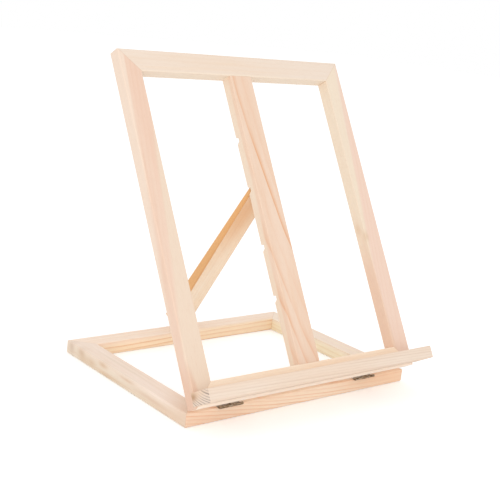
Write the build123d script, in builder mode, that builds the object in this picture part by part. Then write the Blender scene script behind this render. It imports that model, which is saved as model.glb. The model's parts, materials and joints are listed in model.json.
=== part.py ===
from build123d import *
import os
from math import cos, radians, sin

# Table easel of pine: a base frame, a tilting frame with a ledge, and a prop.
# Millimetres, +Z up, +X to the right, +Y to the back.
# The origin lies on the table under the middle of the front rail.

# Wood stock and overall sizes
easel_width = 260.0
base_depth = 192.0
frame_length = 312.0
stock_width = 20.0
stock_thick = 12.5
edge_ease = 0.4
outer_round = 1.0
slot_slack = 0.05

# Angles above the table as photographed
frame_angle = radians(59.6)
prop_angle = radians(57.1)

# Ledge, glued to the front of the bottom rail, a little off the middle
ledge_length = 265.4
ledge_x = 0.5
ledge_depth = 24.0
ledge_thick = 11.3
ledge_lift = 2.0
ledge_ease = 0.5

# Center rail and its notches, measured up the frame from the hinge pin
center_width = 25.0
center_round = 0.7
notch_centers = (84.0, 131.5, 186.0, 234.0)
notch_profile = ((3.4, 0.0), (2.4, 3.5), (-1.0, 3.5), (-3.6, 0.0))
tenon_width = 15.0
tenon_thick = 5.0
tenon_length = 8.0
tenon_end_gap = 0.5

# Prop, a wedge seen from the side
prop_width = 25.0
prop_length = 187.5
prop_x = 3.0
prop_tip_thick = 4.5

# Butt hinges with rolled knuckles, leaves let in flush with the wood
leaf_thick = 0.65
leaf_reach = 12.0
leaf_start = 2.0
barrel_radius = 1.25
pin_radius = 0.6
bore_radius = 0.65
knuckle_gap = 0.4
pin_out = 2.0
pin_rise = barrel_radius - leaf_thick
front_hinge_length = 25.0
front_hinge_x = {"left": -85.0, "right": 75.0}
front_screw_x = 8.0
prop_hinge_length = 20.0
prop_screw_x = 5.5
screw_reach = 7.4
screw_length = 9.0
screw_head = 2.05
screw_shank = 1.25

# Corner nails across the mitres
nail_leg = 4.5
nail_thick = 0.5
nail_height = 8.0
nail_sink = 0.3

# Directions: up the frame, out of its front, up the prop, out of its back
frame_up = Vector(0, cos(frame_angle), sin(frame_angle))
frame_out = Vector(0, -sin(frame_angle), cos(frame_angle))
prop_up = Vector(0, -cos(prop_angle), sin(prop_angle))
prop_out = Vector(0, sin(prop_angle), cos(prop_angle))
right = Vector(1, 0, 0)
up = Vector(0, 0, 1)

# Hinge pins
pin_height = stock_thick + pin_rise
front_pin = Vector(0, -stock_width / 2 - pin_out, pin_height)
back_pin = Vector(prop_x, base_depth - stock_width / 2 + pin_out, pin_height)

# Each frame is drawn on a plane through the middle of its underside or back
base_plane = Plane((0, base_depth / 2 - stock_width / 2, 0), x_dir=right, z_dir=up)
frame_foot = front_pin + frame_out * pin_rise
frame_middle = frame_foot + frame_up * (pin_out + frame_length / 2)
frame_plane = Plane(frame_middle, x_dir=right, z_dir=frame_out)
frame_low = -frame_length / 2
center_length = frame_length - 2 * stock_width
ledge_middle = frame_low + ledge_lift + ledge_thick / 2
prop_side = Plane(back_pin + prop_out * pin_rise, x_dir=prop_up, z_dir=-right)


def frame_edges(face, width, depth):
    """Planes with their x axis along the outer edges of a frame, body to +y."""
    return {
        "front": Plane(face.from_local_coords((0, -depth / 2, 0)), face.x_dir, face.z_dir),
        "back": Plane(face.from_local_coords((0, depth / 2, 0)), -face.x_dir, face.z_dir),
        "left": Plane(face.from_local_coords((-width / 2, 0, 0)), -face.y_dir, face.z_dir),
        "right": Plane(face.from_local_coords((width / 2, 0, 0)), face.y_dir, face.z_dir),
    }


def mitred_bar(face, length):
    """One bar of a frame, mitred at both ends, rounded outside and eased inside."""
    half = length / 2
    with BuildPart() as bar:
        with BuildSketch(face):
            with BuildLine():
                Polyline(
                    (-half, 0),
                    (half, 0),
                    (half - stock_width, stock_width),
                    (stock_width - half, stock_width),
                    close=True,
                )
            make_face()
        extrude(amount=stock_thick)
        long_edges = bar.edges().filter_by(Axis(face.origin, face.x_dir))
        inward = long_edges.sort_by(Axis(face.origin, face.y_dir))
        chamfer(inward[2:], edge_ease)
        fillet(inward[:2], outer_round)
    return bar.part


def corner_nails(face, width, depth, sink, height, slack):
    """Four angled nails, one across each mitre, legs towards the inside."""
    x = width / 2 - stock_width / 2
    y = depth / 2 - stock_width / 2
    low = -nail_thick / 2 - slack
    high = nail_thick / 2 + slack
    end = nail_leg + slack
    outline = ((low, low), (end, low), (end, high), (high, high), (high, end), (low, end))
    with BuildPart() as nails:
        with BuildSketch(face.offset(sink)):
            with Locations(
                Location((-x, -y, 0), (0, 0, 0)),
                Location((x, -y, 0), (0, 0, 90)),
                Location((x, y, 0), (0, 0, 180)),
                Location((-x, y, 0), (0, 0, 270)),
            ):
                Polygon(*outline)
        extrude(amount=height)
    return nails.part


def leaf_face(pin_plane):
    """Outer face of a hinge leaf, level with the wood."""
    return pin_plane.offset(-pin_rise)


def leaf_spots(screw_x):
    """Screw positions on a leaf, counted from the pin."""
    return [(-screw_x, screw_reach), (screw_x, screw_reach)]


def leaf_screws(pin_plane, screw_x):
    """The two countersunk screws of one hinge leaf, heads level with its face."""
    face = leaf_face(pin_plane)
    with BuildPart() as screws:
        for x, y in leaf_spots(screw_x):
            origin = face.from_local_coords((x, y, 0))
            with BuildSketch(Plane(origin, x_dir=face.x_dir, z_dir=-face.y_dir)):
                with BuildLine():
                    Polyline(
                        (0, 0),
                        (screw_head, 0),
                        (screw_shank, -leaf_thick),
                        (screw_shank, -screw_length),
                        (0, -screw_length),
                        close=True,
                    )
                make_face()
            revolve(axis=Axis(origin, face.z_dir))
    return screws.part


def leaf_pocket(pin_plane, length, screw_x):
    """Wood to take away for one leaf: its shallow bed and the two screw holes."""
    bed = pin_plane.offset(-barrel_radius)
    with BuildPart() as pocket:
        with BuildSketch(bed):
            with Locations((0, leaf_reach / 2)):
                Rectangle(length + 2 * slot_slack, leaf_reach + 2 * slot_slack)
        extrude(amount=barrel_radius)
        with BuildSketch(bed):
            with Locations(*leaf_spots(screw_x)):
                Circle(screw_shank + slot_slack)
        extrude(amount=-screw_length)
    return pocket.part


def hinge_leaf(pin_plane, length, knuckles, screw_x):
    """One leaf: a flat plate with countersunk holes and its rolled knuckles."""
    plate_depth = leaf_reach - leaf_start
    with BuildPart() as leaf:
        with BuildSketch(pin_plane.offset(-barrel_radius)):
            with Locations((0, leaf_start + plate_depth / 2)):
                Rectangle(length, plate_depth)
        extrude(amount=leaf_thick)
        for start, end in knuckles:
            origin = pin_plane.from_local_coords((start, 0, 0))
            with BuildSketch(Plane(origin, x_dir=pin_plane.y_dir, z_dir=pin_plane.x_dir)):
                Circle(barrel_radius)
                with Locations((leaf_start / 2, -barrel_radius + leaf_thick / 2)):
                    Rectangle(leaf_start, leaf_thick)
                Circle(bore_radius, mode=Mode.SUBTRACT)
            extrude(amount=end - start)
        with BuildSketch(leaf_face(pin_plane)):
            with Locations(*leaf_spots(screw_x)):
                Circle(screw_head + slot_slack)
        extrude(amount=-leaf_thick, taper=45, mode=Mode.SUBTRACT)
    return leaf.part


def outer_knuckles(length):
    """Spans of the two end knuckles along the pin."""
    third = length / 6 + knuckle_gap / 2
    return [(-length / 2, -third), (third, length / 2)]


def middle_knuckle(length):
    """Span of the middle knuckle along the pin."""
    third = length / 6 - knuckle_gap / 2
    return [(-third, third)]


def hinge_pin(origin, length):
    """A plain pin, level with the ends of its hinge."""
    with BuildPart() as pin:
        with BuildSketch(Plane(origin - right * (length / 2), x_dir=frame_up, z_dir=right)):
            Circle(pin_radius)
        extrude(amount=length)
    return pin.part


def tenon_bar(slack, end_gap):
    """A flat bar through the center rail whose ends are its two stub tenons."""
    reach = center_length + 2 * (tenon_length + end_gap)
    low = stock_thick / 2 - tenon_thick / 2 - slack
    with BuildPart() as bar:
        with BuildSketch(frame_plane.offset(low)):
            Rectangle(tenon_width + 2 * slack, reach)
        extrude(amount=tenon_thick + 2 * slack)
    return bar.part


os.makedirs("parts", exist_ok=True)

# Planes of the six hinge leaves: origin on the pin, y along the leaf, z out of the wood
front_pins = {side: front_pin + right * x for side, x in front_hinge_x.items()}
base_leaf_planes = {s: Plane(p, x_dir=right, z_dir=up) for s, p in front_pins.items()}
frame_leaf_planes = {s: Plane(p, x_dir=-right, z_dir=-frame_out) for s, p in front_pins.items()}
prop_base_plane = Plane(back_pin, x_dir=-right, z_dir=up)
prop_leaf_plane = Plane(back_pin, x_dir=right, z_dir=-prop_out)

base_edges = frame_edges(base_plane, easel_width, base_depth)
tilt_edges = frame_edges(frame_plane, easel_width, frame_length)
base_slots = corner_nails(
    base_plane, easel_width, base_depth, 0, nail_sink + nail_height, slot_slack
)
tilt_slots = corner_nails(
    frame_plane, easel_width, frame_length, 0, nail_sink + nail_height, slot_slack
)
mortises = tenon_bar(slot_slack, tenon_end_gap)

# Base frame
with BuildPart() as base_front_rail:
    add(mitred_bar(base_edges["front"], easel_width))
    for plane in base_leaf_planes.values():
        add(leaf_pocket(plane, front_hinge_length, front_screw_x), mode=Mode.SUBTRACT)
    add(base_slots, mode=Mode.SUBTRACT)
base_front_rail.part.label = "base_front_rail"
export_step(base_front_rail.part, "parts/base_front_rail.step")

with BuildPart() as base_back_rail:
    add(mitred_bar(base_edges["back"], easel_width))
    add(leaf_pocket(prop_base_plane, prop_hinge_length, prop_screw_x), mode=Mode.SUBTRACT)
    add(base_slots, mode=Mode.SUBTRACT)
base_back_rail.part.label = "base_back_rail"
export_step(base_back_rail.part, "parts/base_back_rail.step")

for side in ("left", "right"):
    with BuildPart() as base_side_rail:
        add(mitred_bar(base_edges[side], base_depth))
        add(base_slots, mode=Mode.SUBTRACT)
    base_side_rail.part.label = f"base_{side}_rail"
    export_step(base_side_rail.part, f"parts/base_{side}_rail.step")

with BuildPart() as base_corner_nails:
    add(corner_nails(base_plane, easel_width, base_depth, nail_sink, nail_height, 0))
base_corner_nails.part.label = "base_corner_nails"
export_step(base_corner_nails.part, "parts/base_corner_nails.step")

# Tilting frame
for side in ("left", "right"):
    with BuildPart() as frame_stile:
        add(mitred_bar(tilt_edges[side], frame_length))
        add(tilt_slots, mode=Mode.SUBTRACT)
    frame_stile.part.label = f"frame_{side}_stile"
    export_step(frame_stile.part, f"parts/frame_{side}_stile.step")

with BuildPart() as frame_top_rail:
    add(mitred_bar(tilt_edges["back"], easel_width))
    add(tilt_slots, mode=Mode.SUBTRACT)
    add(mortises, mode=Mode.SUBTRACT)
frame_top_rail.part.label = "frame_top_rail"
export_step(frame_top_rail.part, "parts/frame_top_rail.step")

with BuildPart() as frame_bottom_rail:
    add(mitred_bar(tilt_edges["front"], easel_width))
    for plane in frame_leaf_planes.values():
        add(leaf_pocket(plane, front_hinge_length, front_screw_x), mode=Mode.SUBTRACT)
    add(tilt_slots, mode=Mode.SUBTRACT)
    add(mortises, mode=Mode.SUBTRACT)
frame_bottom_rail.part.label = "frame_bottom_rail"
export_step(frame_bottom_rail.part, "parts/frame_bottom_rail.step")

with BuildPart() as frame_corner_nails:
    add(corner_nails(frame_plane, easel_width, frame_length, nail_sink, nail_height, 0))
frame_corner_nails.part.label = "frame_corner_nails"
export_step(frame_corner_nails.part, "parts/frame_corner_nails.step")

# Center rail: notches are drawn from the side, counted up from the hinge pin
frame_side = Plane(frame_foot, x_dir=frame_up, z_dir=right)
with BuildPart() as frame_center_rail:
    with BuildSketch(frame_plane):
        Rectangle(center_width, center_length)
    extrude(amount=stock_thick)
    long_edges = frame_center_rail.edges().filter_by(Axis(frame_foot, frame_up))
    outward = long_edges.sort_by(Axis(frame_foot, frame_out))
    chamfer(outward[:2], edge_ease)
    fillet(outward[2:], center_round)
    with BuildSketch(frame_side):
        for center in notch_centers:
            Polygon(*[(center + v, n) for v, n in notch_profile])
    extrude(amount=center_width, both=True, mode=Mode.SUBTRACT)
    add(tenon_bar(0, 0))
frame_center_rail.part.label = "frame_center_rail"
export_step(frame_center_rail.part, "parts/frame_center_rail.step")

# Ledge
with BuildPart() as ledge:
    with BuildSketch(frame_plane.offset(stock_thick)):
        with Locations((ledge_x, ledge_middle)):
            Rectangle(ledge_length, ledge_thick)
    extrude(amount=ledge_depth)
    ledge_edges = ledge.edges().filter_by(Axis.X)
    chamfer(ledge_edges.sort_by(Axis(frame_foot, frame_out))[-2:], ledge_ease)
ledge.part.label = "ledge"
export_step(ledge.part, "parts/ledge.step")

# Prop: its tip is cut along the back of the tilting frame as photographed
fold = frame_angle + prop_angle
prop_tip = pin_out + prop_length
tip_slant = -prop_tip_thick * cos(fold) / sin(fold)
with BuildPart() as prop:
    with BuildSketch(prop_side):
        with BuildLine():
            Polyline(
                (pin_out, 0),
                (prop_tip, 0),
                (prop_tip + tip_slant, prop_tip_thick),
                (pin_out, stock_thick),
                close=True,
            )
        make_face()
    extrude(amount=prop_width / 2, both=True)
    prop_edges = prop.edges().sort_by(SortBy.LENGTH)[-4:]
    chamfer(prop_edges, edge_ease)
    add(leaf_pocket(prop_leaf_plane, prop_hinge_length, prop_screw_x), mode=Mode.SUBTRACT)
prop.part.label = "prop"
export_step(prop.part, "parts/prop.step")

# Front hinges
for side in ("left", "right"):
    with BuildPart() as base_leaf:
        spans = outer_knuckles(front_hinge_length)
        add(hinge_leaf(base_leaf_planes[side], front_hinge_length, spans, front_screw_x))
    base_leaf.part.label = f"{side}_hinge_base_leaf"
    export_step(base_leaf.part, f"parts/{side}_hinge_base_leaf.step")

    with BuildPart() as frame_leaf:
        spans = middle_knuckle(front_hinge_length)
        add(hinge_leaf(frame_leaf_planes[side], front_hinge_length, spans, front_screw_x))
    frame_leaf.part.label = f"{side}_hinge_frame_leaf"
    export_step(frame_leaf.part, f"parts/{side}_hinge_frame_leaf.step")

    with BuildPart() as front_pin_part:
        add(hinge_pin(front_pins[side], front_hinge_length))
    front_pin_part.part.label = f"{side}_hinge_pin"
    export_step(front_pin_part.part, f"parts/{side}_hinge_pin.step")

with BuildPart() as front_hinge_base_screws:
    for plane in base_leaf_planes.values():
        add(leaf_screws(plane, front_screw_x))
front_hinge_base_screws.part.label = "front_hinge_base_screws"
export_step(front_hinge_base_screws.part, "parts/front_hinge_base_screws.step")

with BuildPart() as front_hinge_frame_screws:
    for plane in frame_leaf_planes.values():
        add(leaf_screws(plane, front_screw_x))
front_hinge_frame_screws.part.label = "front_hinge_frame_screws"
export_step(front_hinge_frame_screws.part, "parts/front_hinge_frame_screws.step")

# Prop hinge
with BuildPart() as prop_hinge_base_leaf:
    spans = outer_knuckles(prop_hinge_length)
    add(hinge_leaf(prop_base_plane, prop_hinge_length, spans, prop_screw_x))
prop_hinge_base_leaf.part.label = "prop_hinge_base_leaf"
export_step(prop_hinge_base_leaf.part, "parts/prop_hinge_base_leaf.step")

with BuildPart() as prop_hinge_prop_leaf:
    spans = middle_knuckle(prop_hinge_length)
    add(hinge_leaf(prop_leaf_plane, prop_hinge_length, spans, prop_screw_x))
prop_hinge_prop_leaf.part.label = "prop_hinge_prop_leaf"
export_step(prop_hinge_prop_leaf.part, "parts/prop_hinge_prop_leaf.step")

with BuildPart() as prop_hinge_pin:
    add(hinge_pin(back_pin, prop_hinge_length))
prop_hinge_pin.part.label = "prop_hinge_pin"
export_step(prop_hinge_pin.part, "parts/prop_hinge_pin.step")

with BuildPart() as prop_hinge_base_screws:
    add(leaf_screws(prop_base_plane, prop_screw_x))
prop_hinge_base_screws.part.label = "prop_hinge_base_screws"
export_step(prop_hinge_base_screws.part, "parts/prop_hinge_base_screws.step")

with BuildPart() as prop_hinge_prop_screws:
    add(leaf_screws(prop_leaf_plane, prop_screw_x))
prop_hinge_prop_screws.part.label = "prop_hinge_prop_screws"
export_step(prop_hinge_prop_screws.part, "parts/prop_hinge_prop_screws.step")
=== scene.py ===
"""Looks of a folding table easel: bare pine boards, bronzed butt hinges, zinc screws and nails.

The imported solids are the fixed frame. Every board keeps its solid and is dressed as pine cut from its own
place in a trunk, so rings, cathedral arcs and end grain agree on all its faces. The hinge screws are
modelled anew with cross recesses, and stand for the plain solids.
"""

import json
import logging
import math
from dataclasses import dataclass, field
from enum import Enum
from typing import Any, Union

import bpy
from mathutils import Color, Matrix, Vector

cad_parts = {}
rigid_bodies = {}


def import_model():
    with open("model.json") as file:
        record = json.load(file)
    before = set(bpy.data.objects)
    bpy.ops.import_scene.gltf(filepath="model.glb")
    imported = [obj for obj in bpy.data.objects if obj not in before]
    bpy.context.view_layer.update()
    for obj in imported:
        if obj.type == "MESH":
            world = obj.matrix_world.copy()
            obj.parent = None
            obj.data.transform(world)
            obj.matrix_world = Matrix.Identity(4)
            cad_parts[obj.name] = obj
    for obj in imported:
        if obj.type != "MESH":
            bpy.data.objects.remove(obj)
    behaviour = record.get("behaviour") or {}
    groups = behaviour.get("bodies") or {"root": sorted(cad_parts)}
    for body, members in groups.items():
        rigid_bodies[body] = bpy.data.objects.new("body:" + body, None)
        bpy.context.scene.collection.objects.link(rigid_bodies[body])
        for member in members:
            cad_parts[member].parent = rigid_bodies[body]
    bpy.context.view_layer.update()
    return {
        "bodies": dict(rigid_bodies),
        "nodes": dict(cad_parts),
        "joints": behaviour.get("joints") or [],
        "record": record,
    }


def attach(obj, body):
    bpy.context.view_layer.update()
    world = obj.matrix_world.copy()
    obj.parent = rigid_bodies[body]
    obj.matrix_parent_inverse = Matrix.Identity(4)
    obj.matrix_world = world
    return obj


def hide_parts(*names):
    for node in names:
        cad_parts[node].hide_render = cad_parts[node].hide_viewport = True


Colour = tuple[int, int, int]
Pair = tuple[float, float]
Triple = tuple[float, float, float]
Number = Union[float, "Value"]

LOG = logging.getLogger("easel")
MM = 0.001
RIGHT = Vector((1, 0, 0)).freeze()
BACK = Vector((0, 1, 0)).freeze()
ABOVE = Vector((0, 0, 1)).freeze()
MITRE = math.radians(45.0)

# The prop's angle above the table at rest
PROP_LEAN_DEG = 57.1

# The brightest step of a screen colour, and two colours that are used more than once
SCREEN_FULL = 255
WHITE: Colour = (255, 255, 255)
RESIN: Colour = (204, 164, 118)

# Noise and patches run from 0 to 1 around this mean, and each seed moves on by these strides
MEAN = 0.5
SEED_STRIDES: Triple = (7.31, 3.17, 5.53)

# A Mix node's places for colours, whose names are also those of its places for numbers
MIX_FACTOR = 0
MIX_FIRST = 6
MIX_SECOND = 7
MIX_RESULT = 2

# Faces look the same way where the cosine between them is above this
SAME_WAY = 0.99


def shade(colour: Colour) -> tuple[float, float, float, float]:
    """Turns a screen colour of 0 to 255 into the linear colour that a shader takes.

    Args:
        colour: Red, green and blue as a screen shows them.

    Returns:
        The linear colour with an alpha of 1.
    """
    screen = Color([channel / SCREEN_FULL for channel in colour])
    return (*screen.from_srgb_to_scene_linear(), 1.0)


@dataclass(frozen=True)
class Patches:
    """Soft patches on a surface, drawn from noise.

    The size is a patch's length along the three axes in millimetres. The draw is the stretch of the
    noise, counted on from the finish's seed. The detail is the number of finer layers, and the span
    tells where a patch begins and where it is full.
    """

    size: Triple
    draw: int
    detail: float = 2.0
    span: Pair = (0.0, 1.0)


class Value:
    """A node's output; arithmetic on it adds Math nodes."""

    def __init__(self, graph: "Graph", socket: bpy.types.NodeSocket) -> None:
        """Keeps the graph and the output socket."""
        self.graph = graph
        self.socket = socket

    def __add__(self, other: Number) -> "Value":
        """Adds a number or a value."""
        return self.graph.math("ADD", self, other)

    def __radd__(self, other: Number) -> "Value":
        """Adds to a number."""
        return self.graph.math("ADD", other, self)

    def __sub__(self, other: Number) -> "Value":
        """Takes a number or a value away."""
        return self.graph.math("SUBTRACT", self, other)

    def __rsub__(self, other: Number) -> "Value":
        """Takes this value from a number."""
        return self.graph.math("SUBTRACT", other, self)

    def __mul__(self, other: Number) -> "Value":
        """Multiplies by a number or a value."""
        return self.graph.math("MULTIPLY", self, other)

    def __rmul__(self, other: Number) -> "Value":
        """Multiplies a number."""
        return self.graph.math("MULTIPLY", other, self)

    def __truediv__(self, other: Number) -> "Value":
        """Divides by a number or a value."""
        return self.graph.math("DIVIDE", self, other)

    def __pow__(self, other: Number) -> "Value":
        """Raises to a power."""
        return self.graph.math("POWER", self, other)

    def __rpow__(self, other: Number) -> "Value":
        """Raises a number to this power."""
        return self.graph.math("POWER", other, self)

    def __abs__(self) -> "Value":
        """Drops the sign."""
        return self.graph.math("ABSOLUTE", self)


class Graph:
    """The node graph of one material, or of the world."""

    def __init__(self, tree: bpy.types.NodeTree) -> None:
        """Empties the tree and keeps it."""
        self.tree = tree
        self.tree.nodes.clear()

    def node(
        self,
        kind: str,
        settings: dict[str, Any] | None = None,
        sockets: dict[str | int, Any] | None = None,
        out: str | int = 0,
    ) -> Value | None:
        """Adds one node.

        Args:
            kind: The node's type, without its ShaderNode prefix.
            settings: What the node is set to, a ramp's stops among them.
            sockets: Numbers, colours or values for its inputs, by name or by place.
            out: The output that is wanted.

        Returns:
            That output, or nothing for a node that gives none.
        """
        node = self.tree.nodes.new("ShaderNode" + kind)
        for name, setting in (settings or {}).items():
            if name == "stops":
                self.set_stops(node.color_ramp, setting)
            else:
                setattr(node, name, setting)
        for name, value in (sockets or {}).items():
            if isinstance(value, Value):
                self.tree.links.new(value.socket, node.inputs[name])
            else:
                node.inputs[name].default_value = value
        return Value(self, node.outputs[out]) if len(node.outputs) else None

    @staticmethod
    def set_stops(ramp: bpy.types.ColorRamp, stops: tuple[Pair, ...]) -> None:
        """Gives a ramp its grey stops.

        Args:
            ramp: The ramp of a Color Ramp node.
            stops: Place and height of each stop, in order.
        """
        while len(ramp.elements) < len(stops):
            ramp.elements.new(1.0)
        for element, (place, height) in zip(ramp.elements, stops):
            element.position = place
            element.color = (height, height, height, 1.0)

    def math(self, operation: str, *operands: Number) -> Value:
        """Adds a Math node on the operands in order."""
        return self.node("Math", {"operation": operation}, dict(enumerate(operands)))

    def step(self, value: Value, low: float, high: float) -> Value:
        """Gives a soft step from 0 to 1, or a falling one where low is the larger.

        Args:
            value: What is measured.
            low: Where the step is still 0.
            high: Where it has reached 1.

        Returns:
            The step's height.
        """
        rising = low < high
        ends = (low, high) if rising else (high, low)
        heights = (0.0, 1.0) if rising else (1.0, 0.0)
        names = ("From Min", "From Max", "To Min", "To Max")
        sockets = {"Value": value} | dict(zip(names, ends + heights))
        return self.node("MapRange", {"interpolation_type": "SMOOTHSTEP"}, sockets)

    def mix(self, factor: Number, first: Any, second: Any) -> Value:
        """Mixes two colours.

        Args:
            factor: The second colour's share, 0 to 1.
            first: One colour.
            second: The other.

        Returns:
            The mixed colour.
        """
        settings = {"data_type": "RGBA", "clamp_factor": True}
        sockets = {MIX_FACTOR: factor, MIX_FIRST: first, MIX_SECOND: second}
        return self.node("Mix", settings, sockets, MIX_RESULT)

    def noise(self, place: Value, kind: Patches, seed: float) -> Value:
        """Gives soft noise of 0 to 1.

        Args:
            place: The coordinates, in millimetres.
            kind: The patches that the noise makes.
            seed: What moves the pattern to another stretch of the noise.

        Returns:
            The noise value.
        """
        scale = tuple(1.0 / length for length in kind.size)
        shift = tuple((seed + kind.draw) * stride for stride in SEED_STRIDES)
        moved = self.node("VectorMath", {"operation": "MULTIPLY_ADD"}, {0: place, 1: scale, 2: shift})
        sockets = {"Vector": moved, "Scale": 1.0, "Detail": kind.detail}
        return self.node("TexNoise", {}, sockets, "Fac")

    def patches(self, place: Value, kind: Patches, seed: float) -> Value:
        """Gives patches of 0 to 1, cut softly out of noise.

        Args:
            place: The coordinates, in millimetres.
            kind: The patches.
            seed: What moves the pattern to another stretch of the noise.

        Returns:
            The patches' height.
        """
        return self.step(self.noise(place, kind, seed), *kind.span)

    def seen_directly(self) -> Value:
        """Picks the rays that show a surface to the camera, also by way of metal or glass.

        Returns:
            1 for such a ray and 0 for one that only carries light.
        """
        kinds = ("Camera", "Glossy", "Transmission")
        rays = [self.node("LightPath", out=f"Is {kind} Ray") for kind in kinds]
        return self.math("MINIMUM", rays[0] + rays[1] + rays[2], 1.0)

    def surface(self, sockets: dict[str, Any], height: Value, depth_mm: float, strength: float) -> None:
        """Closes a material with its bump, its shader and its output.

        Args:
            sockets: Values, colours and numbers of the Principled shader.
            height: The bump's height, 0 to 1.
            depth_mm: How deep a height of 1 is.
            strength: How strongly the bump tells.
        """
        bump = {"Height": height, "Distance": depth_mm * MM, "Strength": strength}
        shader = self.node("BsdfPrincipled", {}, sockets | {"Normal": self.node("Bump", {}, bump)})
        self.node("OutputMaterial", {}, {"Surface": shader})


def at_least(least: float, value: Value) -> Value:
    """Squeezes a value of 0 to 1 into the range from a least one to 1."""
    return least + (1.0 - least) * value


def new_material(name: str) -> tuple[bpy.types.Material, Graph]:
    """Makes an empty material.

    Args:
        name: The material's name.

    Returns:
        The material and its node graph.
    """
    material = bpy.data.materials.new(name)
    material.use_nodes = True
    return material, Graph(material.node_tree)


def dress(piece: bpy.types.Object, material: bpy.types.Material) -> None:
    """Gives a piece one material all over, and reports it.

    Args:
        piece: The piece.
        material: Its finish.
    """
    piece.data.materials.clear()
    piece.data.materials.append(material)
    LOG.info("%s: %s", piece.name, material.name)


class Cut(Enum):
    """How a board's ends are cut."""

    MITRED = "mitred"
    SQUARE = "square"


@dataclass(frozen=True)
class BoardPlace:
    """Where a board lies: its own axes run along the grain, across the face and through the thickness."""

    corner: Triple
    turn: Triple
    length: float
    width: float
    thickness: float
    grain: Triple

    @classmethod
    def of(cls, piece: bpy.types.Object, grain: Vector, across: Vector) -> "BoardPlace":
        """Measures a board in its own axes.

        Args:
            piece: The board's object, in metres.
            grain: The direction of the wood's fibres.
            across: The direction from the board's outer edge inwards.

        Returns:
            The board's place, with its sizes in millimetres.
        """
        axes = (grain, across, grain.cross(across))
        lows = []
        highs = []
        for axis in axes:
            reach = [axis.dot(vertex.co) for vertex in piece.data.vertices]
            lows.append(min(reach))
            highs.append(max(reach))
        starts = ((lows[0] + highs[0]) / 2, lows[1], lows[2])
        corner = sum((axis * start for axis, start in zip(axes, starts)), Vector())
        turn = Matrix(axes).transposed().to_euler()
        sizes = [(high - low) / MM for low, high in zip(lows, highs)]
        return cls(tuple(corner), tuple(turn), *sizes, tuple(grain))


@dataclass(frozen=True)
class Spot:
    """The shaded point of a board, measured along, across and through it in millimetres."""

    graph: Graph
    local: Value
    along: Value
    across: Value
    through: Value

    @classmethod
    def on(cls, graph: Graph, place: BoardPlace) -> "Spot":
        """Measures the shaded point in a board's own axes.

        Args:
            graph: The material's graph.
            place: The board's place.

        Returns:
            The point.
        """
        point = graph.node("TexCoord", out="Object")
        frame = {"Vector": point, "Location": place.corner, "Rotation": place.turn, "Scale": (MM, MM, MM)}
        local = graph.node("Mapping", {"vector_type": "TEXTURE"}, frame)
        axes = [graph.node("SeparateXYZ", {}, {0: local}, axis) for axis in "XYZ"]
        return cls(graph, local, *axes)


@dataclass(frozen=True)
class KnotAndShade:
    """A soft mark placed and reaching in millimetres along the board's axes: knotted and resinous spots on
    some boards, and painted shade on the ledge's end and on the prop.
    """

    place: Triple
    reach: Triple
    depth: float
    colour: Colour

    def mask(self, spot: Spot) -> Value:
        """Gives the mark's depth in its middle, falling to 0 around it.

        Args:
            spot: The shaded point.

        Returns:
            The mask.
        """
        square = 0.0
        for axis, middle, reach in zip((spot.along, spot.across, spot.through), self.place, self.reach):
            part = (axis - middle) / reach
            square = part * part + square
        return self.depth * math.e ** (square * -1.0)


@dataclass(frozen=True)
class Zone:
    """Wood of another colour beyond a slanted plane, and on the frame's top and bottom rails painted light
    on their undersides.

    The lean weighs a place's millimetres along, across and through the board. Where their sum passes the
    edge, the zone begins.
    """

    colour: Colour
    lean: Triple
    edge: float
    soft: float
    tone: float = 0.9

    def mask(self, spot: Spot, stray: Value) -> Value:
        """Gives the zone's tone beyond its edge, and 0 before it.

        Args:
            spot: The shaded point.
            stray: Patches of 0 to 1 that make the edge uneven.

        Returns:
            The mask.
        """
        depth = spot.along * self.lean[0] + spot.across * self.lean[1] + spot.through * self.lean[2]
        depth = depth + (stray - MEAN) * self.soft
        return spot.graph.step(depth, self.edge - self.soft, self.edge + self.soft) * self.tone


@dataclass(frozen=True)
class Heart:
    """Heartwood inside a radius in millimetres, with its tone and the strength of its rings."""

    radius: float
    tone: float
    lines: float = 1.0
    soft: float = 4.0

    def core(self, graph: Graph, radius: Value) -> Value:
        """Gives 1 inside the heart and 0 outside."""
        return graph.step(radius, self.radius + self.soft, self.radius - self.soft)


@dataclass(frozen=True)
class WoodMarks:
    """The marks that all the pine shares: patches of noise, and how strongly each mark shows.

    The year's stops draw one ring, from its pale early wood to the sharp end of its late wood. Spans are
    in millimetres from an edge or a seam, and for the end grain they are cosines between a face's normal
    and the fibres.
    """

    stray_aside: Patches = Patches((95.0, 22.0, 22.0), 0)
    stray_deep: Patches = Patches((95.0, 22.0, 22.0), 1)
    drift_draw: int = 2
    drift_years: float = 3.0
    drift_reach: float = 1.3
    year: tuple[Pair, ...] = ((0.0, 0.2), (0.12, 0.0), (0.5, 0.06), (0.82, 0.6), (0.93, 1.0), (1.0, 0.2))
    fade: Patches = Patches((110.0, 16.0, 16.0), 3, span=(0.25, 0.65))
    faintest: float = 0.4
    fibre: Patches = Patches((11.0, 0.45, 0.45), 4, 3.0, (0.45, 0.8))
    fibre_tone: float = 0.14
    tone: Patches = Patches((150.0, 15.0, 15.0), 5, span=(0.34, 0.66))
    streak: Patches = Patches((120.0, 5.0, 5.0), 6, 1.0, (0.52, 0.74))
    pores: Patches = Patches((5.0, 0.3, 0.3), 7, 0.0, (0.66, 0.8))
    pore_tone: float = 0.1
    pore_colour: Colour = (186, 138, 96)
    edge_span: Pair = (1.7, 0.5)
    edge_least: float = 0.6
    end_span: Pair = (0.8, 0.95)
    end_least: float = 0.04
    seam_span: Pair = (0.5, 0.05)
    seam_tone: float = 0.28
    seam_colour: Colour = (206, 164, 130)


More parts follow.
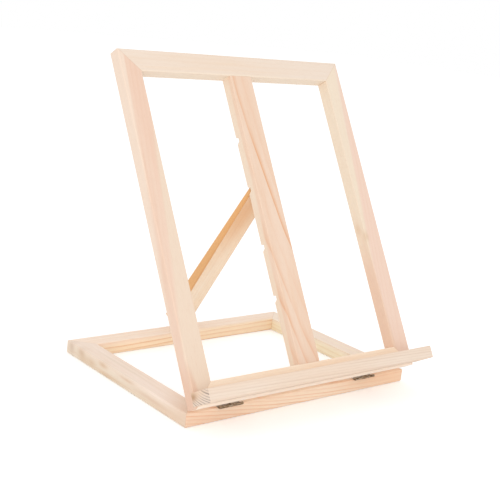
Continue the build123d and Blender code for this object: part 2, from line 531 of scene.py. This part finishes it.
@dataclass(frozen=True)
class PlanedFace:
    """How a planed face takes the light: its roughness, and the relief of its fibres, rings and pores."""

    rough: float = 0.58
    line_polish: float = 0.1
    fibre_rough: float = 0.14
    end_rough: float = 0.1
    gloss: float = 0.3
    fibre_rise: float = 0.55
    line_rise: float = 0.35
    pore_sink: float = 0.4
    relief_mm: float = 0.12
    relief_strength: float = 0.35


@dataclass(frozen=True)
class Pine:
    """Bare planed pine, cut at a given place in the trunk.

    The pith is the trunk's middle, in millimetres across and through from the board's outer back corner.
    The slope says how far the board runs out of line with it, and the bend how crooked the trunk grew,
    which draws the rings out into arcs. The heart has the streak's colour, and the zones colour what lies
    beyond their planes. Crisp rings are thin lines, others rise slowly to theirs, and even ones are all
    as strong.
    """

    pale: Colour
    warm: Colour
    late: Colour
    streak: Colour
    pith: Pair
    slope: Pair
    ring: float
    lines: float
    streaks: float
    seed: float
    bend: float = 0.0
    wander: float = 1.6
    crisp: float = 1.0
    even: float = 0.5
    heart: Heart | None = None
    zones: tuple[Zone, ...] = ()
    knots_and_shade: tuple[KnotAndShade, ...] = ()
    knot_and_shade_push: float = 4.0
    edge_colour: Colour = (240, 212, 186)
    edge_tone: float = 0.14
    end_colour: Colour = (156, 122, 118)
    marks: WoodMarks = WoodMarks()
    face: PlanedFace = PlanedFace()

    def material(self, name: str, place: BoardPlace, cut: Cut) -> bpy.types.Material:
        """Makes this pine for one board.

        Args:
            name: The material's name.
            place: The board's place and sizes.
            cut: How the board's ends are cut.

        Returns:
            The finished material.
        """
        marks = self.marks
        material, graph = new_material(name)
        spot = Spot.on(graph, place)
        # Knotted and resinous spots, and on the ledge and the prop patches of painted shade, colour the
        # wood and bend its rings
        knot_and_shade_masks = [mark.mask(spot) for mark in self.knots_and_shade]
        knot_and_shade_depth: Number = 0.0
        for mask in knot_and_shade_masks:
            knot_and_shade_depth = graph.math("MAXIMUM", knot_and_shade_depth, mask)
        radius = self.trunk_radius(spot) + knot_and_shade_depth * self.knot_and_shade_push
        late = self.late_wood(graph, radius)
        tone = graph.patches(spot.local, marks.tone, self.seed)
        fibre = graph.noise(spot.local, marks.fibre, self.seed)
        pores = graph.patches(spot.local, marks.pores, self.seed)
        edge = self.edge_mask(spot, place)
        end = self.end_mask(graph, place)

        colour, line = self.figure(spot, radius, late, tone)
        fibrous = graph.step(fibre, *marks.fibre.span)
        colour = graph.mix(fibrous * marks.fibre_tone, colour, shade(self.late))
        colour = graph.mix(pores * marks.pore_tone, colour, shade(marks.pore_colour))
        # The edge colour is wear from sanding and hands, and on the prop painted shade along its rounded
        # edges
        rubbed_and_painted_light = edge * self.edge_tone * at_least(marks.edge_least, tone)
        colour = graph.mix(rubbed_and_painted_light, colour, shade(self.edge_colour))
        ringed = end * at_least(marks.end_least, late) * (1.0 - knot_and_shade_depth)
        colour = graph.mix(ringed, colour, shade(self.end_colour))
        # Lays the knotted and resinous spots, and the painted shade, over the wood's colour
        for mask, mark in zip(knot_and_shade_masks, self.knots_and_shade):
            colour = graph.mix(mask, colour, shade(mark.colour))
        if cut is Cut.MITRED:
            seam = self.seam_mask(spot, place)
            colour = graph.mix(seam * marks.seam_tone, colour, shade(marks.seam_colour))
        self.close(graph, colour, {"line": line, "fibre": fibre, "pores": pores, "end": end})
        return material

    def close(self, graph: Graph, colour: Value, masks: dict[str, Value]) -> None:
        """Closes the material with the roughness and the relief of its planed faces.

        Args:
            graph: The material's graph.
            colour: The wood's colour.
            masks: Its year lines, fibres, pores and end grain.
        """
        face = self.face
        rough = face.rough - face.line_polish * masks["line"]
        rough = rough + face.fibre_rough * (masks["fibre"] - MEAN) + face.end_rough * masks["end"]
        height = face.fibre_rise * masks["fibre"] + face.line_rise * masks["line"]
        height = height - face.pore_sink * masks["pores"]
        sockets = {"Base Color": colour, "Roughness": rough, "Specular IOR Level": face.gloss}
        graph.surface(sockets, height, face.relief_mm, face.relief_strength)

    def figure(self, spot: Spot, radius: Value, late: Value, tone: Value) -> tuple[Value, Value]:
        """Colours the wood as it grew, with its heart, streaks, year lines and zones; the zones on the
        frame's top and bottom rails are painted light.

        Args:
            spot: The shaded point.
            radius: The distance from the trunk's middle.
            late: The late wood of each year.
            tone: Slow patches from the pale to the warm colour.

        Returns:
            The colour, and the strength of the year lines.
        """
        graph = spot.graph
        fade = graph.patches(spot.local, self.marks.fade, self.seed)
        line = late * at_least(self.marks.faintest, fade)
        colour = graph.mix(tone, shade(self.pale), shade(self.warm))
        if self.heart:
            core = self.heart.core(graph, radius)
            line = line * (1.0 + (self.heart.lines - 1.0) * core)
            colour = graph.mix(core * self.heart.tone, colour, shade(self.streak))
        streak = graph.patches(spot.local, self.marks.streak, self.seed)
        colour = graph.mix(streak * self.streaks, colour, shade(self.streak))
        colour = graph.mix(line * self.lines, colour, shade(self.late))
        # Zones of other wood, and on the frame's top and bottom rails zones of painted light
        for zone in self.zones:
            colour = graph.mix(zone.mask(spot, tone), colour, shade(zone.colour))
        return colour, line

    def trunk_radius(self, spot: Spot) -> Value:
        """Gives the distance from the trunk's middle.

        Args:
            spot: The shaded point.

        Returns:
            The distance in millimetres, with the slow wander of real rings.
        """
        aside = spot.graph.noise(spot.local, self.marks.stray_aside, self.seed) - MEAN
        rise = spot.graph.noise(spot.local, self.marks.stray_deep, self.seed) - MEAN
        over = spot.across - self.pith[0] + spot.along * self.slope[0] + aside * (2 * self.wander)
        deep = spot.through - self.pith[1] + spot.along * self.slope[1] + rise * (2 * self.wander)
        deep = deep - spot.along * spot.along * self.bend
        return (over * over + deep * deep) ** 0.5

    def late_wood(self, graph: Graph, radius: Value) -> Value:
        """Gives the dark late wood of each year, rising slowly and ending at a sharp line.

        Args:
            graph: The material's graph.
            radius: The distance from the trunk's middle.

        Returns:
            The darkness of 0 to 1; years differ in width and strength.
        """
        marks = self.marks
        slow = Patches((self.ring * marks.drift_years,) * 3, marks.drift_draw)
        drift = graph.noise(graph.node("CombineXYZ", {}, {0: radius}), slow, self.seed) - MEAN
        phase = radius / self.ring + drift * marks.drift_reach
        rise = graph.node("ValToRGB", {"stops": marks.year}, {0: graph.math("FRACT", phase)})
        count = graph.math("FLOOR", phase) + self.seed
        chance = graph.node("TexWhiteNoise", {"noise_dimensions": "1D"}, {"W": count}, "Value")
        return rise ** self.crisp * at_least(self.even, chance)

    def edge_mask(self, spot: Spot, place: BoardPlace) -> Value:
        """Gives 1 along the board's four long edges, worn by sanding and hands, which on the prop carry
        painted shade.

        Args:
            spot: The shaded point.
            place: The board's place and sizes.

        Returns:
            The mask of the edges.
        """
        from_side = place.width / 2 - abs(spot.across - place.width / 2)
        from_face = place.thickness / 2 - abs(spot.through - place.thickness / 2)
        farther = spot.graph.math("MAXIMUM", from_side, from_face)
        return spot.graph.step(farther, *self.marks.edge_span)

    def end_mask(self, graph: Graph, place: BoardPlace) -> Value:
        """Gives 1 where a face is cut across the grain.

        Args:
            graph: The material's graph.
            place: The board's place and grain.

        Returns:
            The mask of the end grain.
        """
        normal = graph.node("TexCoord", out="Normal")
        operands = {0: normal, 1: place.grain}
        facing = graph.node("VectorMath", {"operation": "DOT_PRODUCT"}, operands, "Value")
        return graph.step(abs(facing), *self.marks.end_span)

    def seam_mask(self, spot: Spot, place: BoardPlace) -> Value:
        """Gives 1 along the board's mitred ends, where it meets its neighbours.

        Args:
            spot: The shaded point.
            place: The board's place and sizes.

        Returns:
            The mask of the seams.
        """
        gap = abs(place.length / 2 - abs(spot.along) - spot.across) * math.cos(MITRE)
        return spot.graph.step(gap, *self.marks.seam_span)


@dataclass(frozen=True)
class PlatedSteel:
    """Thin plated sheet or wire.

    It has drawn marks along one axis and clouds and spots of dullness, and is worn bright in places; on the
    bronzed hinges the dark clouds and bright patches also paint shade and highlights on the knuckles.
    """

    name: str
    plate: Colour
    dull_and_shade: Colour
    bright: Colour
    rub_and_highlight: float
    rough: float
    seed: float
    drawn: Patches = Patches((9.0, 0.16, 0.16), 0, 3.0, (0.5, 0.8))
    cloud: Patches = Patches((2.4, 2.4, 2.4), 1, 4.0, (0.35, 0.7))
    spots: Patches = Patches((0.5, 0.5, 0.5), 2, span=(0.6, 0.75))
    rubbed_and_painted_light: Patches = Patches((5.0, 1.6, 1.6), 3, 3.0, (0.42, 0.72))
    drawn_tone: float = 0.25
    spot_tone: float = 0.4
    cloud_rough: float = 0.25
    drawn_rough: float = 0.15
    spot_rough: float = 0.12
    drawn_rise: float = 0.6
    cloud_rise: float = 0.3
    spot_sink: float = 0.3
    metallic: float = 0.85
    relief_mm: float = 0.05
    relief_strength: float = 0.3

    def material(self) -> bpy.types.Material:
        """Makes the finish.

        Returns:
            The finished material.
        """
        material, graph = new_material(self.name)
        point = graph.node("TexCoord", out="Object")
        frame = {"Vector": point, "Scale": (MM, MM, MM)}
        local = graph.node("Mapping", {"vector_type": "TEXTURE"}, frame)
        drawn = graph.noise(local, self.drawn, self.seed)
        cloud = graph.noise(local, self.cloud, self.seed)
        spots = graph.patches(local, self.spots, self.seed)
        rubbed_and_painted_light = graph.patches(local, self.rubbed_and_painted_light, self.seed)
        # Dark clouds and bright worn patches: tarnish and wear, and on the bronze painted shade and painted
        # highlights on the knuckles
        colour = graph.mix(graph.step(cloud, *self.cloud.span), shade(self.plate), shade(self.dull_and_shade))
        colour = graph.mix(rubbed_and_painted_light * self.rub_and_highlight, colour, shade(self.bright))
        scratched = graph.step(drawn, *self.drawn.span)
        colour = graph.mix(scratched * self.drawn_tone, colour, shade(self.bright))
        colour = graph.mix(spots * self.spot_tone, colour, shade(self.dull_and_shade))
        rough = self.rough + self.cloud_rough * (cloud - MEAN) + self.drawn_rough * (drawn - MEAN)
        rough = rough + self.spot_rough * spots
        height = self.drawn_rise * drawn + self.cloud_rise * cloud - self.spot_sink * spots
        sockets = {"Base Color": colour, "Roughness": rough, "Metallic": self.metallic}
        graph.surface(sockets, height, self.relief_mm, self.relief_strength)
        return material


@dataclass
class Boards:
    """A set of boards that are dressed alike, each with its own pine."""

    nodes: dict[str, bpy.types.Object]

    def finish(self, name: str, pine: Pine, grain: Vector, across: Vector, cut: Cut) -> None:
        """Dresses one board.

        Args:
            name: The board's node.
            pine: Its wood.
            grain: The direction of its fibres.
            across: The direction from its outer edge inwards.
            cut: How its ends are cut.
        """
        piece = self.nodes[name]
        place = BoardPlace.of(piece, grain, across)
        dress(piece, pine.material("pine_" + name, place, cut))


@dataclass
class BaseFrame(Boards):
    """The mitred frame that lies on the table."""

    front: Pine = Pine(
        pale=(254, 232, 209), warm=(252, 225, 199), late=(230, 164, 114), streak=(241, 207, 181),
        pith=(-6.0, -42.0), slope=(0.02, 0.08), bend=0.0003, ring=3.4, lines=0.9, streaks=0.2, crisp=1.5,
        heart=Heart(39.0, 0.75, soft=7.0), seed=3.0,
        zones=(Zone((245, 202, 166), lean=(1.0, 0.0, 0.0), edge=60.0, soft=60.0, tone=0.6),),
    )
    back: Pine = Pine(
        pale=(253, 235, 218), warm=(252, 230, 210), late=(222, 150, 88), streak=(255, 231, 198),
        pith=(34.0, -16.0), slope=(0.02, 0.04), ring=3.6, wander=2.4, lines=0.2, streaks=0.2, crisp=1.3,
        heart=Heart(31.0, 0.9, 4.2), seed=8.0,
    )
    left: Pine = Pine(
        pale=(250, 232, 218), warm=(247, 227, 210), late=(216, 178, 140), streak=(231, 216, 195),
        pith=(-40.0, -24.0), slope=(0.03, -0.02), ring=4.5, lines=0.15, streaks=0.3,
        heart=Heart(53.0, 0.75, 3.0), seed=12.0,
        zones=(Zone((231, 204, 180), lean=(1.0, 0.0, 0.0), edge=64.0, soft=24.0, tone=0.75),),
        knots_and_shade=(
            KnotAndShade((-88.0, 0.0, 8.0), (5.0, 6.0, 6.0), 0.45, (192, 160, 134)),
            KnotAndShade((-70.0, 0.0, 8.5), (6.0, 5.0, 4.5), 0.5, (198, 162, 124)),
            KnotAndShade((-64.0, 0.0, 4.0), (8.0, 5.0, 4.0), 0.3, RESIN),
            KnotAndShade((-51.0, 0.0, 5.0), (8.0, 5.0, 4.0), 0.42, RESIN),
            KnotAndShade((-32.0, 0.0, 9.5), (7.0, 5.0, 2.6), 0.55, RESIN),
            KnotAndShade((-28.0, 0.0, 2.0), (12.0, 4.0, 1.6), 0.4, RESIN),
            KnotAndShade((-8.0, 0.0, 3.0), (14.0, 4.0, 1.5), 0.3, RESIN),
            KnotAndShade((8.0, 0.0, 9.5), (11.0, 4.0, 1.4), 0.48, RESIN),
            KnotAndShade((45.0, 0.0, 6.0), (28.0, 4.0, 2.2), 0.36, (208, 166, 130)),
        ),
    )
    right: Pine = Pine(
        pale=(250, 234, 219), warm=(249, 230, 212), late=(224, 176, 118), streak=(255, 243, 211),
        pith=(46.0, -22.0), slope=(0.03, 0.02), ring=3.6, wander=2.4, lines=0.15, streaks=0.3, crisp=1.3,
        heart=Heart(42.0, 0.85, 3.6), seed=17.0,
    )

    def dress_all(self) -> None:
        """Dresses the four rails."""
        self.finish("base_front_rail", self.front, RIGHT, BACK, Cut.MITRED)
        self.finish("base_back_rail", self.back, -RIGHT, -BACK, Cut.MITRED)
        self.finish("base_left_rail", self.left, -BACK, RIGHT, Cut.MITRED)
        self.finish("base_right_rail", self.right, BACK, -RIGHT, Cut.MITRED)


@dataclass
class TiltingFrame(Boards):
    """The leaning frame with its center rail and its ledge."""

    up: Vector
    left: Pine = Pine(
        pale=(237, 209, 189), warm=(236, 204, 183), late=(218, 168, 130), streak=(230, 196, 170),
        pith=(60.0, 20.0), slope=(0.08, 0.0), ring=4.2, lines=0.22, streaks=0.2, seed=21.0,
        zones=(
            Zone((236, 216, 195), lean=(0.11, 1.0, 1.5), edge=29.0, soft=2.2, tone=0.85),
            Zone((241, 221, 203), lean=(-0.043, -1.0, -0.5), edge=-4.6, soft=1.6, tone=0.85),
            Zone((228, 190, 166), lean=(1.0, -3.0, 0.0), edge=124.0, soft=12.0, tone=0.7),
        ),
    )
    right: Pine = Pine(
        pale=(239, 223, 206), warm=(238, 218, 200), late=(224, 178, 144), streak=(240, 210, 192),
        pith=(-30.0, -6.0), slope=(0.1, 0.0), ring=4.6, lines=0.25, streaks=0.2,
        heart=Heart(50.0, 0.9, soft=3.0), seed=26.0,
        zones=(
            Zone((240, 223, 200), lean=(0.075, 1.0, 0.0), edge=15.0, soft=1.8, tone=0.8),
            Zone((235, 203, 179), lean=(-0.1, 3.0, 0.0), edge=63.0, soft=3.2, tone=0.8),
        ),
        knots_and_shade=(
            KnotAndShade((-17.0, 20.0, 5.0), (6.0, 3.0, 3.5), 0.3, (212, 168, 122)),
            KnotAndShade((-26.0, 18.5, 12.0), (5.0, 2.6, 3.0), 0.4, (212, 168, 124)),
        ),
    )
    top: Pine = Pine(
        pale=(238, 221, 205), warm=(237, 217, 198), late=(224, 188, 156), streak=(238, 210, 182),
        pith=(-60.0, -24.0), slope=(0.0, 0.02), ring=4.0, lines=0.2, streaks=0.3, seed=31.0,
        # Painted light: the paler zone brightens the rail's shaded underside and the lower edge of its
        # front
        zones=(Zone((244, 229, 210), lean=(0.0, 1.0, 0.0), edge=18.8, soft=0.8),),
    )
    bottom: Pine = Pine(
        pale=(255, 236, 214), warm=(255, 229, 202), late=(236, 186, 148), streak=(247, 210, 174),
        pith=(-50.0, -36.0), slope=(0.0, 0.02), ring=4.0, lines=0.25, streaks=0.4,
        # Painted light: the pale zone along the lower edge and the underside, and the pale edge colour,
        # paint the floor's light on the strip under the ledge
        edge_colour=(255, 236, 220), seed=36.0,
        zones=(Zone((255, 242, 228), lean=(0.0, -1.0, 0.0), edge=-2.6, soft=1.4),),
    )
    center: Pine = Pine(
        pale=(239, 213, 192), warm=(237, 208, 185), late=(224, 152, 90), streak=(234, 194, 160),
        pith=(66.0, 50.0), slope=(-0.165, 0.0), bend=0.0004, ring=9.0, wander=2.6, lines=1.0, streaks=0.3,
        crisp=1.2, even=0.15, seed=59.0,
        zones=(Zone((240, 222, 201), lean=(-0.01, -0.6, -1.0), edge=-7.2, soft=1.4, tone=0.85),),
    )
    ledge: Pine = Pine(
        pale=(239, 221, 204), warm=(237, 215, 195), late=(196, 164, 138), streak=(230, 198, 168),
        pith=(38.0, 43.0), slope=(0.0, -0.03), ring=2.15, wander=0.4, lines=0.47, streaks=0.15,
        crisp=1.1, seed=46.0, knot_and_shade_push=0.3, end_colour=(52, 8, 28),
        # Painted contact shade at the ledge's left end, where its top meets the left stile
        knots_and_shade=(
            KnotAndShade((132.7, 2.0, 11.0), (3.0, 12.0, 6.0), 0.95, (238, 206, 177)),
            KnotAndShade((132.7, 2.0, 7.5), (2.0, 5.0, 3.4), 0.95, (188, 150, 118)),
        ),
    )

    def dress_all(self) -> None:
        """Dresses the stiles, the rails and the ledge."""
        up = self.up
        out = RIGHT.cross(up)
        self.finish("frame_left_stile", self.left, -up, RIGHT, Cut.MITRED)
        self.finish("frame_right_stile", self.right, up, -RIGHT, Cut.MITRED)
        self.finish("frame_top_rail", self.top, -RIGHT, -up, Cut.MITRED)
        self.finish("frame_bottom_rail", self.bottom, RIGHT, up, Cut.MITRED)
        self.finish("frame_center_rail", self.center, -up, RIGHT, Cut.SQUARE)
        self.finish("ledge", self.ledge, -RIGHT, out, Cut.SQUARE)


@dataclass
class PropArm(Boards):
    """The swinging slat that holds the frame up."""

    lean_deg: float = PROP_LEAN_DEG
    wood: Pine = Pine(
        pale=(255, 241, 221), warm=(255, 237, 213), late=(236, 184, 132), streak=(230, 174, 112),
        pith=(-22.0, 4.0), slope=(0.0, 0.0), ring=4.0, wander=0.4, lines=0.22, streaks=0.1,
        # The dark edge colour paints shade along the slat's rounded edges
        heart=Heart(23.4, 0.95, soft=1.0), edge_colour=(206, 148, 94), edge_tone=0.35, seed=51.0,
        # Painted shade on the slat's upper front, under the frame
        knots_and_shade=(KnotAndShade((62.0, 8.0, 0.0), (46.0, 17.0, 6.0), 0.64, (228, 168, 104)),), knot_and_shade_push=0.2,
    )

    def dress_all(self) -> None:
        """Dresses the slat."""
        lean = math.radians(self.lean_deg)
        along = Vector((0, -math.cos(lean), math.sin(lean)))
        self.finish("prop", self.wood, along, RIGHT, Cut.SQUARE)


def pick(piece: bpy.types.Object) -> None:
    """Makes a piece the active one, and the only one selected.

    Args:
        piece: The piece.
    """
    bpy.ops.object.select_all(action="DESELECT")
    piece.select_set(True)
    bpy.context.view_layer.objects.active = piece


def select_faces(piece: bpy.types.Object, facing: Vector) -> None:
    """Goes to edit mode with only those faces selected that look one way.

    Args:
        piece: The object, alone and active.
        facing: The direction of the wanted faces.
    """
    bpy.ops.object.mode_set(mode="EDIT")
    bpy.ops.mesh.select_mode(type="FACE")
    bpy.ops.mesh.select_all(action="DESELECT")
    bpy.ops.object.mode_set(mode="OBJECT")
    for face in piece.data.polygons:
        face.select = face.normal.dot(facing) > SAME_WAY
    bpy.ops.object.mode_set(mode="EDIT")


@dataclass
class CrossScrew:
    """A countersunk wood screw with a cross recess, its head's face on the origin and looking up.

    The sizes are in metres. Screws of one node stand farther apart than the given distance, and each is
    turned on from the one before.
    """

    head: float = 2.05 * MM
    rim: float = 0.08 * MM
    cone: float = 0.65 * MM
    shank: float = 1.25 * MM
    length: float = 9.0 * MM
    tip: float = 2.4 * MM
    tip_narrowing: float = 0.1
    recess_reach: float = 1.3 * MM
    recess_width: float = 0.55 * MM
    recess_depth: float = 0.6 * MM
    recess_taper: float = 0.55
    sides: int = 28
    smooth_deg: float = 35.0
    apart: float = 5.5 * MM
    first_turn_deg: float = 20.0
    turn_step_deg: float = 37.0

    def model(self) -> bpy.types.Object:
        """Models the screw once.

        Returns:
            The pattern that the others are copied from.
        """
        bpy.ops.object.select_all(action="DESELECT")
        middle = (0, 0, -self.rim / 2)
        bpy.ops.mesh.primitive_cylinder_add(
            vertices=self.sides, radius=self.head, depth=self.rim, location=middle
        )
        screw = bpy.context.object
        bpy.ops.object.transform_apply()
        select_faces(screw, -ABOVE)
        tail = (
            (self.cone - self.rim, self.shank / self.head),
            (self.length - self.cone - self.tip, 1.0),
            (self.tip, self.tip_narrowing),
        )
        for drop, narrowing in tail:
            bpy.ops.mesh.extrude_region_move(TRANSFORM_OT_translate={"value": (0, 0, -drop)})
            bpy.ops.transform.resize(value=(narrowing, narrowing, 1))
        bpy.ops.object.mode_set(mode="OBJECT")
        self.cut_recess(screw, (self.recess_reach, self.recess_width / 2))
        self.cut_recess(screw, (self.recess_width / 2, self.recess_reach))
        pick(screw)
        bpy.ops.object.shade_smooth_by_angle(angle=math.radians(self.smooth_deg))
        return screw

    def cut_recess(self, screw: bpy.types.Object, half: Pair) -> None:
        """Cuts one tapered slot of the cross into the head.

        Args:
            screw: The screw.
            half: Half the slot's size along X and Y.
        """
        bpy.ops.object.select_all(action="DESELECT")
        # A cube of 2, so that its scale is half its size
        bpy.ops.mesh.primitive_cube_add(size=2.0)
        cutter = bpy.context.object
        cutter.scale = (*half, self.recess_depth)
        bpy.ops.object.transform_apply()
        select_faces(cutter, -ABOVE)
        bpy.ops.transform.resize(value=(self.recess_taper, self.recess_taper, 1))
        bpy.ops.object.mode_set(mode="OBJECT")
        pick(screw)
        slot = screw.modifiers.new("recess", "BOOLEAN")
        slot.operation = "DIFFERENCE"
        slot.object = cutter
        bpy.ops.object.modifier_apply(modifier=slot.name)
        bpy.data.objects.remove(cutter)

    def seats(self, piece: bpy.types.Object, facing: Vector) -> list[Vector]:
        """Finds the middle of each screw head on a node of several screws.

        Args:
            piece: The node.
            facing: The direction in which its heads look.

        Returns:
            The middles, in metres.
        """
        points = [vertex.co for vertex in piece.data.vertices]
        top = max(facing.dot(point) for point in points)
        groups: list[list[Vector]] = []
        for point in points:
            level = point + facing * (top - facing.dot(point))
            near = [group for group in groups if (group[0] - level).length < self.apart]
            if near:
                near[0].append(level)
            else:
                groups.append([level])
        middles = []
        for group in groups:
            ends = [(min(axis) + max(axis)) / 2 for axis in zip(*group)]
            middles.append(Vector(ends))
        return middles

    def fit(self, pattern: bpy.types.Object, node: bpy.types.Object, facing: Vector) -> bpy.types.Object:
        """Sets copies of the screw on all seats of a node, as one piece.

        Args:
            pattern: The modelled screw.
            node: The node of plain screws.
            facing: The direction in which its heads look.

        Returns:
            The piece that stands for the node.
        """
        turn = facing.to_track_quat("Z", "Y").to_matrix().to_4x4()
        bpy.ops.object.select_all(action="DESELECT")
        for number, seat in enumerate(self.seats(node, facing)):
            copy = bpy.data.objects.new(node.name + "_cross", pattern.data.copy())
            angle = self.first_turn_deg + self.turn_step_deg * number
            spin = Matrix.Rotation(math.radians(angle), 4, "Z")
            copy.data.transform(Matrix.Translation(seat) @ turn @ spin)
            bpy.context.scene.collection.objects.link(copy)
            copy.select_set(True)
            bpy.context.view_layer.objects.active = copy
        bpy.ops.object.join()
        piece = bpy.context.object
        piece.name = node.name + "_cross"
        return piece


@dataclass
class Hardware:
    """Hinges, screws and corner nails."""

    nodes: dict[str, bpy.types.Object]
    up: Vector
    prop_lean_deg: float = PROP_LEAN_DEG
    screw: CrossScrew = field(default_factory=CrossScrew)
    # The dark and bright patches of the bronze also paint shade and highlights along the hinge barrel
    bronze: PlatedSteel = PlatedSteel(
        "bronzed_steel", plate=(146, 118, 88), dull_and_shade=(72, 46, 26), bright=(222, 202, 178),
        rub_and_highlight=0.6, rough=0.42, seed=1.0,
    )
    pin_steel: PlatedSteel = PlatedSteel(
        "pin_steel", plate=(150, 140, 122), dull_and_shade=(100, 88, 70), bright=(200, 192, 176),
        rub_and_highlight=0.6, rough=0.34, seed=4.0,
    )
    zinc: PlatedSteel = PlatedSteel(
        "zinc_steel", plate=(150, 148, 144), dull_and_shade=(112, 108, 102), bright=(206, 204, 200),
        rub_and_highlight=0.4, rough=0.36, seed=9.0,
    )

    def dress_all(self) -> None:
        """Dresses every piece of metal."""
        bronze = self.bronze.material()
        pin_steel = self.pin_steel.material()
        zinc = self.zinc.material()
        for name, piece in self.nodes.items():
            if name.endswith("_leaf"):
                dress(piece, bronze)
            elif name.endswith("_pin"):
                dress(piece, pin_steel)
            elif name.endswith(("_screws", "_nails")):
                dress(piece, zinc)
        self.fit_screws(zinc)

    def fit_screws(self, zinc: bpy.types.Material) -> None:
        """Puts screws with cross recesses in place of the plain ones.

        Args:
            zinc: Their finish.
        """
        lean = math.radians(self.prop_lean_deg)
        behind = self.up.cross(RIGHT)
        under = Vector((0, -math.sin(lean), -math.cos(lean)))
        sets = (
            ("front_hinge_base_screws", "base", ABOVE),
            ("front_hinge_frame_screws", "tilting_frame", behind),
            ("prop_hinge_base_screws", "base", ABOVE),
            ("prop_hinge_prop_screws", "prop_arm", under),
        )
        pattern = self.screw.model()
        for name, body, facing in sets:
            piece = self.screw.fit(pattern, self.nodes[name], facing)
            dress(piece, zinc)
            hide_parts(name)
            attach(piece, body)
        bpy.data.objects.remove(pattern)


@dataclass(frozen=True)
class WhiteFloor:
    """Pale paint that shows a little brighter than it lights the easel."""

    paint: Colour = (250, 249, 248)
    glow: float = 0.2

    def material(self) -> bpy.types.Material:
        """Makes the finish.

        Returns:
            The finished material.
        """
        material, graph = new_material("white_floor")
        seen = graph.seen_directly()
        colour = graph.mix(seen, shade(self.paint), shade(WHITE))
        paint = graph.node("BsdfDiffuse", {}, {"Color": colour})
        glow = graph.node("Emission", {}, {"Color": shade(WHITE), "Strength": seen * self.glow})
        graph.node("OutputMaterial", {}, {"Surface": graph.node("AddShader", {}, {0: paint, 1: glow})})
        return material


@dataclass
class Studio:
    """Pale floor, soft light and the camera, placed in metres."""

    camera_at: Triple = (-0.6078, -0.6159, 0.3381)
    camera_aim: Triple = (-0.0122, 0.0705, 0.1212)
    camera_roll_deg: float = 6.471
    lens: float = 73.4
    floor: WhiteFloor = WhiteFloor()
    floor_size: float = 12.0
    floor_drop: float = 0.0002
    sky: float = 0.9
    fill_watts: float = 8.0
    fill_size: float = 1.0
    fill_at: Triple = (-1.25, -1.3, 0.62)

    def build(self) -> None:
        """Sets the stage."""
        self.place_camera()
        self.lay_floor()
        self.light()
        bpy.context.scene.view_settings.view_transform = "Standard"

    def place_camera(self) -> None:
        """Stands the camera at the photograph's viewing angle."""
        data = bpy.data.cameras.new("camera")
        data.lens = self.lens
        camera = bpy.data.objects.new("camera", data)
        bpy.context.scene.collection.objects.link(camera)
        aim = Vector(self.camera_aim) - Vector(self.camera_at)
        roll = Matrix.Rotation(math.radians(self.camera_roll_deg), 3, "Z")
        camera.location = self.camera_at
        camera.rotation_euler = (aim.to_track_quat("-Z", "Y").to_matrix() @ roll).to_euler()
        bpy.context.scene.camera = camera

    def lay_floor(self) -> None:
        """Lays the white floor, which keeps the easel's shadow."""
        bpy.ops.object.select_all(action="DESELECT")
        bpy.ops.mesh.primitive_plane_add(size=self.floor_size, location=(0, 0, -self.floor_drop))
        floor = bpy.context.object
        floor.name = "floor"
        dress(floor, self.floor.material())

    def light(self) -> None:
        """Lights the stage with an even sky and one large soft lamp, low in front."""
        world = bpy.data.worlds.new("sky")
        bpy.context.scene.world = world
        world.use_nodes = True
        graph = Graph(world.node_tree)
        strength = at_least(self.sky, graph.seen_directly())
        backdrop = graph.node("Background", {}, {"Color": shade(WHITE), "Strength": strength})
        graph.node("OutputWorld", {}, {"Surface": backdrop})
        data = bpy.data.lights.new("fill", "AREA")
        data.energy = self.fill_watts
        data.size = self.fill_size
        lamp = bpy.data.objects.new("fill", data)
        lamp.location = self.fill_at
        aim = Vector(self.camera_aim) - Vector(self.fill_at)
        lamp.rotation_euler = aim.to_track_quat("-Z", "Y").to_euler()
        bpy.context.scene.collection.objects.link(lamp)


def main() -> None:
    """Loads the frame, dresses it and sets the stage."""
    logging.basicConfig(level=logging.INFO, format="%(name)s: %(message)s")
    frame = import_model()
    nodes = frame["nodes"]
    mounts = {mount["name"]: mount for mount in frame["record"]["mounts"]}
    BaseFrame(nodes).dress_all()
    up = Vector(mounts["ledge_top"]["axis"])
    TiltingFrame(nodes, up).dress_all()
    PropArm(nodes).dress_all()
    Hardware(nodes, up).dress_all()
    Studio().build()


if __name__ == "__main__":
    main()
